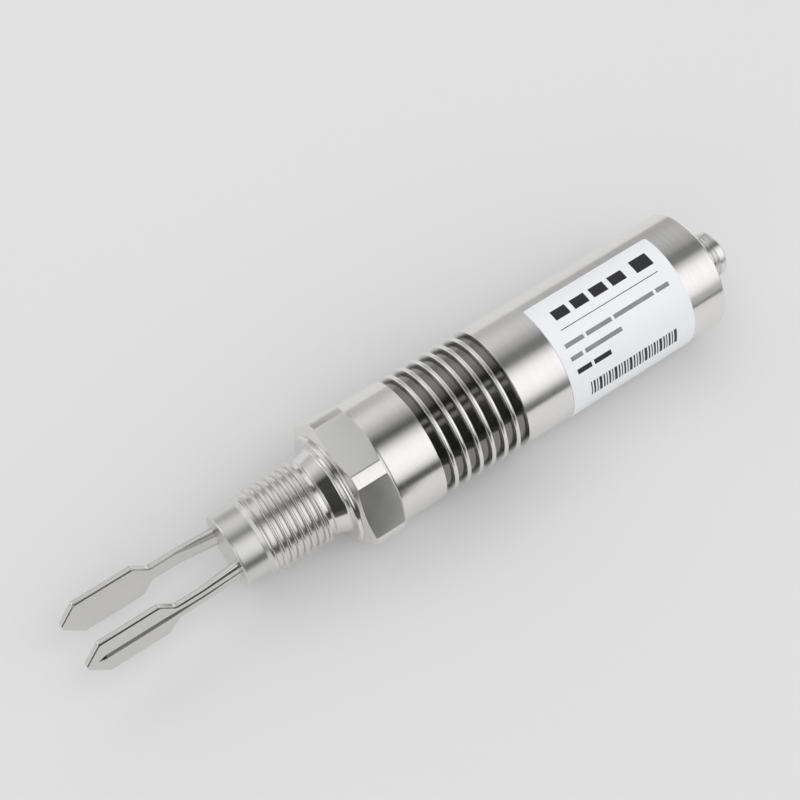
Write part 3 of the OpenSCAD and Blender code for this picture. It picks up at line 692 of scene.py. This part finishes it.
def housingPiece(h):
    pitch = h.grooveWidth + h.finThick
    finEnd = h.finStart + h.grooves * h.grooveWidth + (h.grooves - 1) * h.finThick
    low, high = (h.radius - h.depth + side * h.floorSlope / 2 for side in (-1, 1))
    floors = []
    for k in range(h.grooves):
        x = h.finStart + k * pitch
        floors += [(x, low, h.floorRound), (x + h.grooveWidth, high, h.floorRound)]
    body = lathe("housingBody", rounded([
        (h.start, h.boreRadius), (h.start, h.radius, h.frontRound), (h.finStart, h.radius, h.grooveRound),
        *floors, (finEnd, h.radius, h.grooveRound), (h.end, h.radius, h.rearRound),
        (h.end, h.capBore, h.capRound), (h.capStart, h.capBore), (h.capStart, h.boreRadius)], h.arcSteps),
        [finishes["housingSteel"], finishes["grooveSteel"]], h.sides)
    # the recessed floors get the dark finish, painted shade
    for face in body.data.polygons:
        x, y, z = face.center / mm
        onFloor = h.boreRadius + h.floorDepth < math.hypot(y, z) < high + h.floorProud
        face.material_index = int(h.finStart < x < finEnd and onFloor)
    body = runTree(body, coolingFins, {
        "Count": h.grooves - 1, "Pitch": pitch * mm,
        "First": (h.finStart + h.grooveWidth + h.finThick / 2) * mm, "Thickness": h.finThick * mm,
        "Outer radius": h.radius * mm, "Depth": (h.depth + h.finSink) * mm,
        "Rounding": h.finRound * mm, "Finish": finishes["housingSteel"]})
    return place(smoothShade(body), "finned_housing")


housingBody = housingPiece(SimpleNamespace(**housing))
print("housing made:", len(housingBody.data.polygons), "faces")


# end cap, pressed into the rear of the housing
endCap = dict(start=100.6, end=106.6, radius=13.45, hole=5.09, sealAt=103.6, sealHalf=0.95, sealDepth=1.45,
              frontRound=0.2, rearRound=0.25, holeRound=0.15)


def capPiece(c):
    body = lathe("capBody", rounded([
        (c.start, c.hole), (c.start, c.radius, c.frontRound), *sealGroove(c, c.radius),
        (c.end, c.radius, c.rearRound), (c.end, c.hole, c.holeRound)]), [finishes["capSteel"]])
    return place(smoothShade(body), "end_cap")


# plug socket: flange, thread and bevelled mouth ring
plugSocket = dict(stemStart=96.9, stemRadius=5.04, stemRound=0.15, end=106.6, grooveIn=5.69, grooveOut=7.09,
                  grooveDepth=1.0, flangeEnd=108.2, flangeRadius=7.69, flangeFoot=0.12, flangeRound=0.3,
                  radius=6.0, threadDepth=0.6134, threadSink=0.15, threadGap=0.2, pitch=1.0, crestFlat=0.17,
                  crestRound=0.08, runIn=0.06, runOut=0.06, mouth=116.3, mouthLength=2.9, mouthRise=0.3,
                  riseRound=0.12, mouthEdge=1.0, mouthRound=0.35, lipRound=0.15, bore=4.337, sides=160,
                  smooth=28)


def socketPiece(s):
    root = s.radius - s.threadDepth
    threadEnd = s.mouth - s.mouthLength
    grooveFloor = s.end + s.grooveDepth
    body = lathe("socketBody", rounded([
        (s.stemStart, s.bore), (s.stemStart, s.stemRadius, s.stemRound), (s.end, s.stemRadius),
        (s.end, s.grooveIn), (grooveFloor, s.grooveIn), (grooveFloor, s.grooveOut), (s.end, s.grooveOut),
        (s.end, s.flangeRadius, s.flangeFoot), (s.flangeEnd, s.flangeRadius, s.flangeRound),
        (s.flangeEnd, root), (threadEnd, root), (threadEnd + s.mouthRise, s.radius, s.riseRound),
        (s.mouth - s.mouthEdge, s.radius, s.mouthRound), (s.mouth, s.radius - s.mouthEdge, s.lipRound),
        (s.mouth, s.bore, s.lipRound)]), [finishes["socketNickel"]], s.sides)
    turns = (threadEnd - s.flangeEnd - s.threadGap) / s.pitch
    body = addThread(body, s, root, s.flangeEnd + s.threadGap, turns, "socketNickel")
    return place(smoothShade(body, s.smooth), "socket_shell")


# contact pins with rounded tips
pins = dict(start=94.9, tip=115.3, radius=0.5, place=1.972, footRound=0.1, tipRound=0.45, arcSteps=6,
            sides=32)


def pinPiece(p):
    made = []
    for y in (1, -1):
        for z in (1, -1):
            pin = lathe("pin", rounded([
                (p.start, 0), (p.start, p.radius, p.footRound), (p.tip, p.radius, p.tipRound), (p.tip, 0)],
                p.arcSteps), [finishes["pinGold"]], p.sides)
            pin.data.transform(Matrix.Translation((0, y * p.place * mm, z * p.place * mm)))
            made.append(pin)
    return place(smoothShade(joinPieces("contactPins", made)), "contact_pins")


capPiece(SimpleNamespace(**endCap))
socketPiece(SimpleNamespace(**plugSocket))
pinPiece(SimpleNamespace(**pins))
print("rear end made")


# label: thin film wrapped round the housing, with plain marks
label = dict(front=59.8, rear=96.6, radius=15.72, thick=0.12, first=-23.0, arc=141.0, corner=0.8,
             cornerSteps=6, columns=8, rows=72, smooth=40)


def filmPiece(b):
    turnPerMm = math.degrees(1 / b.radius)
    cornerXs = [b.corner * (1 - math.cos(math.radians(90 / b.cornerSteps * k))) for k in range(b.cornerSteps)]
    straight = b.rear - b.front - 2 * b.corner
    xs = [b.front + d for d in cornerXs]
    xs += [b.front + b.corner + straight * k / b.columns for k in range(b.columns + 1)]
    xs += [b.rear - d for d in reversed(cornerXs)]
    verts, faces = [], []
    for level in (b.radius, b.radius + b.thick):
        for x in xs:
            gone = max(0, b.corner - min(x - b.front, b.rear - x))
            inset = (b.corner - math.sqrt(max(0, b.corner ** 2 - gone ** 2))) * turnPerMm
            for k in range(b.rows + 1):
                turn = b.first + inset + (b.arc - 2 * inset) * k / b.rows
                verts.append(atTurn(x, math.radians(turn), level))
    wide, last = b.rows + 1, len(xs) - 1
    half = len(xs) * wide
    for i in range(last):
        for k in range(b.rows):
            a = i * wide + k
            faces.append((a, a + 1, a + wide + 1, a + wide))
            faces.append((half + a, half + a + wide, half + a + wide + 1, half + a + 1))
    rim = [i * wide for i in range(len(xs))] + [last * wide + k for k in range(1, wide)]
    rim += [i * wide + b.rows for i in range(last - 1, -1, -1)] + list(range(b.rows - 1, 0, -1))
    for here, there in zip(rim, rim[1:] + rim[:1]):
        faces.append((here, there, half + there, half + here))
    film = newPiece("labelFilm", verts, faces, [finishes["filmWhite"]])
    return place(smoothShade(film, b.smooth), "label")


# Geometry Nodes: flat boxes on points, bent round the housing
def markTree():
    bendSteps = 10
    tree, given, made = newGroup(
        "labelMarks", "GeometryNodeTree",
        [("Geometry", "Geometry"), ("Radius", "Float"), ("Thickness", "Float"), ("Finish", "Material")],
        [("Geometry", "Geometry")])
    size = addNode(tree, "GeometryNodeInputNamedAttribute", {"data_type": "FLOAT_VECTOR"}, Name="size")
    box = addNode(tree, "GeometryNodeMeshCube", Size=(1, 1, 1), Vertices_X=2, Vertices_Y=bendSteps,
                  Vertices_Z=2)
    copies = addNode(tree, "GeometryNodeInstanceOnPoints", Points=given["Geometry"], Instance=box.outputs[0],
                     Scale=size.outputs[0])
    real = addNode(tree, "GeometryNodeRealizeInstances", Geometry=copies.outputs[0])
    position = tree.nodes.new("GeometryNodeInputPosition").outputs[0]
    spot = addNode(tree, "ShaderNodeSeparateXYZ", Vector=position).outputs
    turn = calc(tree, "DIVIDE", spot["Y"], given["Radius"])
    reach = calc(tree, "ADD", given["Radius"], calc(tree, "MULTIPLY", spot["Z"], given["Thickness"]))
    toNear = calc(tree, "MULTIPLY", reach, -1.0)
    bent = addNode(tree, "ShaderNodeCombineXYZ", X=spot["X"],
                   Y=calc(tree, "MULTIPLY", toNear, calc(tree, "SINE", turn)),
                   Z=calc(tree, "MULTIPLY", reach, calc(tree, "COSINE", turn)))
    laid = addNode(tree, "GeometryNodeSetPosition", Geometry=real.outputs[0], Position=bent.outputs[0])
    outward = addNode(tree, "GeometryNodeFlipFaces", Mesh=laid.outputs[0])  # the bend mirrors the boxes
    coloured = addNode(tree, "GeometryNodeSetMaterial", Geometry=outward.outputs[0], Material=given["Finish"])
    tree.links.new(coloured.outputs[0], made["Geometry"])
    return tree


labelMarks = markTree()

# each mark is (front, rear, first degree, last degree)
marks = dict(
    radius=15.84, thick=0.016, smooth=40,
    black=[(64.4, 68.6, -7.0, 3.0), (70.0, 74.2, -7.0, 3.0), (75.6, 79.8, -7.0, 3.0), (81.2, 85.4, -7.0, 3.0),
           (88.2, 93.2, -9.0, 4.5), (63.7, 92.7, 12.0, 12.7), (62.5, 66.6, 48.6, 53.2),
           (67.4, 72.4, 48.6, 53.2)],
    grey=[(62.4, 67.8, 24.0, 28.0), (68.6, 76.0, 24.0, 28.0), (76.8, 88.6, 24.0, 28.0),
          (89.4, 93.3, 24.0, 28.0), (62.2, 65.6, 36.0, 40.0), (66.4, 77.2, 36.0, 40.0)],
    stripesFrom=65.0, stripesTo=90.6, stripeTop=67.0, stripeLow=83.0,
    stripeWidths=(0.32, 0.55, 0.32, 0.8, 0.45), stripeGap=0.42)


def stripeBoxes(m):
    boxes, x = [], m.stripesFrom
    while x < m.stripesTo:
        width = m.stripeWidths[len(boxes) % len(m.stripeWidths)]
        boxes.append((x, x + width, m.stripeTop, m.stripeLow))
        x = x + width + m.stripeGap
    return boxes


def markPiece(name, boxes, finish, m):
    mesh = bpy.data.meshes.new(name)
    centres, sizes = [], []
    for front, rear, first, last in boxes:
        low, high = math.radians(first) * m.radius, math.radians(last) * m.radius
        centres.append(((front + rear) / 2 * mm, (low + high) / 2 * mm, 0))
        sizes.append(((rear - front) * mm, (high - low) * mm, 1))
    mesh.from_pydata(centres, [], [])
    size = mesh.attributes.new("size", "FLOAT_VECTOR", "POINT")
    for item, value in zip(size.data, sizes):
        item.vector = value
    piece = runTree(addObject(name, mesh), labelMarks, {
        "Radius": m.radius * mm, "Thickness": m.thick * mm, "Finish": finishes[finish]})
    smoothShade(piece, m.smooth)
    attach(piece, "root")
    return piece


filmPiece(SimpleNamespace(**label))
markSizes = SimpleNamespace(**marks)
stripes = stripeBoxes(markSizes)
markPiece("labelDark", marks["black"] + stripes, "inkBlack", markSizes)
markPiece("labelGrey", marks["grey"], "inkGrey", markSizes)
print("label made:", len(stripes), "stripes")


# pieces inside the housing keep their solids and get plain finishes
plainLook = dict(shade=0.85, grain=6000.0, cloud=200.0, bump=0.1)
plainRough = dict(rubber=(0.6, 0.75), plastic=(0.4, 0.52), metal=(0.26, 0.36))
inside = {
    "fitting_seal": ("rubber", (0.03, 0.03, 0.03)),
    "cap_seal": ("rubber", (0.03, 0.03, 0.03)),
    "socket_seal": ("rubber", (0.03, 0.03, 0.03)),
    "socket_nut": ("metal", (0.75, 0.75, 0.74)),
    "socket_insert": ("plastic", (0.03, 0.03, 0.033)),
    "insulator_discs": ("plastic", (0.8, 0.77, 0.68)),
    "piezo_rings": ("plastic", (0.35, 0.27, 0.17)),
    "electrodes": ("metal", (0.66, 0.47, 0.18)),
    "stud_sleeve": ("plastic", (0.8, 0.74, 0.6)),
    "thrust_washer": ("metal", (0.6, 0.6, 0.6)),
    "spring_washer": ("metal", (0.6, 0.6, 0.6)),
    "stack_nut": ("metal", (0.6, 0.6, 0.6)),
    "piezo_leads": ("plastic", (0.45, 0.03, 0.025)),
    "board_carrier": ("plastic", (0.7, 0.7, 0.67)),
    "circuit_board": ("plastic", (0.02, 0.18, 0.07)),
    "control_chip": ("plastic", (0.03, 0.03, 0.033)),
    "capacitors": ("metal", (0.68, 0.69, 0.71)),
    "relay": ("plastic", (0.03, 0.06, 0.2)),
    "socket_wires": ("plastic", (0.04, 0.1, 0.42)),
}
for node, (kind, colour) in inside.items():
    look = dict(plainLook, colour=colour, rough=plainRough[kind])
    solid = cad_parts[node]
    solid.data.materials.clear()
    solid.data.materials.append(grained(node + "Finish", look, kind == "metal"))
print("inner finishes set:", len(inside))


# stage: pale floor, studio surroundings, camera
stage = dict(floorAt=-16.0, floorColour=(0.82, 0.82, 0.822), floorShade=0.985, floorRough=0.75,
             floorGrain=900.0, floorCloud=4.0, size=3.0, fade=(0.35, 1.1), backdrop=(0.75, 0.75, 0.755),
             lens=72.0, sensor=36.0, clip=(0.01, 20), eye=(-78.1, -141.9, 332.2),
             right=(0.82097, -0.57098, 0.0), down=(-0.4989, -0.71736, -0.4863),
             ahead=(0.27769, 0.39924, -0.8738))


def makeFloor(s):
    half = s.size / mm / 2
    corners = [(x * half, y * half, s.floorAt) for x, y in ((-1, -1), (1, -1), (1, 1), (-1, 1))]
    floor = newPiece("floor", corners, [(0, 1, 2, 3)])
    if floor.data.polygons[0].normal.z < 0:
        floor.data.flip_normals()
    material, tree, shader, spot = newMaterial("floorPale")
    cloud = useGroup(tree, fineGrain, Vector=spot, Grain=s.floorGrain, Cloud_size=s.floorCloud)["Cloud"]
    dark = [c * s.floorShade for c in s.floorColour]
    tree.links.new(blendColour(tree, cloud, (*dark, 1), (*s.floorColour, 1)), shader.inputs["Base Color"])
    shader.inputs["Roughness"].default_value = s.floorRough
    shader.inputs["Specular IOR Level"].default_value = 0.0
    reach = addNode(tree, "ShaderNodeVectorMath", {"operation": "LENGTH"})
    tree.links.new(spot, reach.inputs[0])
    # the far floor meets the backdrop without a line
    far = remap(tree, reach.outputs["Value"], *s.fade, 0.0, 1.0, "SMOOTHSTEP")
    seen = addNode(tree, "ShaderNodeLightPath").outputs["Is Camera Ray"]
    glow = addNode(tree, "ShaderNodeEmission", Color=(*s.backdrop, 1))
    mix = addNode(tree, "ShaderNodeMixShader", Fac=calc(tree, "MULTIPLY", far, seen))
    tree.links.new(shader.outputs["BSDF"], mix.inputs[1])
    tree.links.new(glow.outputs[0], mix.inputs[2])
    tree.links.new(mix.outputs[0], tree.nodes["Material Output"].inputs["Surface"])
    floor.data.materials.append(material)


# brightness round the X axis, by degrees from straight up towards the near side
surround = [
    (-180, 0.7), (-125, 0.7), (-95, 0.58), (-84, 0.54), (-74, 0.56), (-56, 0.72), (-43, 0.72), (-33, 0.6),
    (-23, 0.42), (-13, 0.27), (-3, 0.08), (2, 0.1), (13, 0.58), (24, 0.97), (36, 1.08), (48, 1.1), (58, 1.05),
    (67, 0.94), (74, 0.72), (80, 0.4), (84, 0.06), (96, 0.05), (99, 0.7), (180, 0.7),
]
# patches on top of it: brightness, strength, then rise and fall along X and in degrees round X
patches = [
    (0.04, 1.0, (-0.62, -0.54, -0.1, -0.02), (-15, -3, 95, 98)),
    (0.55, 1.0, (-0.3, -0.24, -0.06, -0.01), (4, 9, 12, 16)),
    (0.5, 1.0, (-0.3, -0.24, -0.06, -0.01), (20, 25, 29, 35)),
    (1.0, 1.0, (-1.2, -1.1, -0.93, -0.82), (-70, -55, 80, 95)),
    (0.03, 1.0, (0.07, 0.11, 0.2, 0.27), (76, 82, 102, 108)),
    (0.03, 1.0, (-0.34, -0.26, -0.02, 0.02), (40, 46, 106, 116)),
    (1.3, 1.0, (-0.85, -0.7, -0.5, -0.32), (-78, -68, -48, -38)),
    (1.0, 1.0, (0.52, 0.62, 1.1, 1.2), (-105, -95, -35, -20)),
    (0.36, 0.7, (0.3, 0.44, 0.5, 0.58), (-150, -115, -25, -5)),
    (1.0, 1.0, (-0.02, 0.05, 0.16, 0.2), (-52, -38, -8, 2)),
    (0.2, 1.0, (0.28, 0.36, 1.1, 1.2), (-15, -8, 4, 10)),
    (0.5, 1.0, (0.27, 0.5, 1.1, 1.2), (74, 82, 98, 102)),
    (0.2, 0.85, (0.08, 0.12, 0.2, 0.25), (-92, -82, -66, -54)),
    (0.05, 1.0, (0.1, 0.14, 0.2, 0.25), (-16, -9, 8, 15)),
]


def makeSurround(s):
    world = bpy.data.worlds.new("studio")
    scene.world = world
    world.use_nodes = True
    tree = world.node_tree
    direction = tree.nodes.new("ShaderNodeTexCoord").outputs["Generated"]
    spot = addNode(tree, "ShaderNodeSeparateXYZ", Vector=direction).outputs
    turn = calc(tree, "ARCTAN2", calc(tree, "MULTIPLY", spot["Y"], -1.0), spot["Z"])
    ramp = tree.nodes.new("ShaderNodeValToRGB")
    tree.links.new(remap(tree, turn, -math.pi, math.pi, 0.0, 1.0), ramp.inputs["Fac"])
    stops = ramp.color_ramp.elements
    while len(stops) < len(surround):
        stops.new(0.5)
    for stop, (degrees, value) in zip(stops, surround):
        stop.position = (degrees + 180) / 360
        stop.color = grey(value)
    reflected = ramp.outputs["Color"]
    for value, strength, along, about in patches:
        mask = strength
        for way, (rise, full, on, end) in ((spot["X"], along), (turn, [math.radians(d) for d in about])):
            mask = calc(tree, "MULTIPLY", mask, remap(tree, way, rise, full, 0.0, 1.0, "SMOOTHSTEP"))
            mask = calc(tree, "MULTIPLY", mask, remap(tree, way, on, end, 1.0, 0.0, "SMOOTHSTEP"))
        reflected = blendColour(tree, mask, reflected, grey(value))
    rays = addNode(tree, "ShaderNodeLightPath").outputs
    seen = blendColour(tree, rays["Is Glossy Ray"], ramp.outputs["Color"], reflected)
    seen = blendColour(tree, rays["Is Camera Ray"], seen, (*s.backdrop, 1))
    tree.links.new(seen, tree.nodes["Background"].inputs["Color"])


# dark card on the floor beyond the picture, which only the metal mirrors
card = dict(height=-15.6, tone=0.04, rough=0.9,
            outline=[(-1500, -80), (28, -80), (50, -145), (75, -245), (1500, -245), (1500, -1500),
                     (-1500, -1500)])


def makeCard(c):
    corners = [(x, y, c.height) for x, y in c.outline]
    piece = newPiece("darkCard", corners, [tuple(range(len(corners)))])
    material, _, shader, _ = newMaterial("cardBlack")
    shader.inputs["Base Color"].default_value = grey(c.tone)
    shader.inputs["Roughness"].default_value = c.rough
    piece.data.materials.append(material)
    piece.visible_camera = piece.visible_diffuse = piece.visible_shadow = False


# soft lamp overhead: it lights floor and label, while the metal mirrors the surroundings alone
lamp = dict(power=9.2, size=2.2, place=(0.1, 0.1, 1.4), aim=(0.02, 0, 0))


def makeLamp(m):
    data = bpy.data.lights.new("softLamp", "AREA")
    data.shape, data.size, data.energy = "DISK", m.size, m.power
    piece = addObject("softLamp", data)
    piece.location = m.place
    piece.rotation_euler = (Vector(m.aim) - Vector(m.place)).to_track_quat("-Z", "Y").to_euler()
    piece.visible_glossy = False


def makeCamera(s):
    data = bpy.data.cameras.new("camera")
    data.lens, data.sensor_width, data.sensor_fit = s.lens, s.sensor, "HORIZONTAL"
    data.clip_start, data.clip_end = s.clip
    camera = addObject("camera", data)
    right, up, back = Vector(s.right), -Vector(s.down), -Vector(s.ahead)
    turn = Matrix((right, up, back)).transposed().to_4x4()
    camera.matrix_world = Matrix.Translation(Vector(s.eye) * mm) @ turn
    scene.camera = camera


stageSizes = SimpleNamespace(**stage)
makeFloor(stageSizes)
makeCard(SimpleNamespace(**card))
makeSurround(stageSizes)
makeLamp(SimpleNamespace(**lamp))
makeCamera(stageSizes)
scene.view_settings.view_transform = "Standard"
print("stage made")
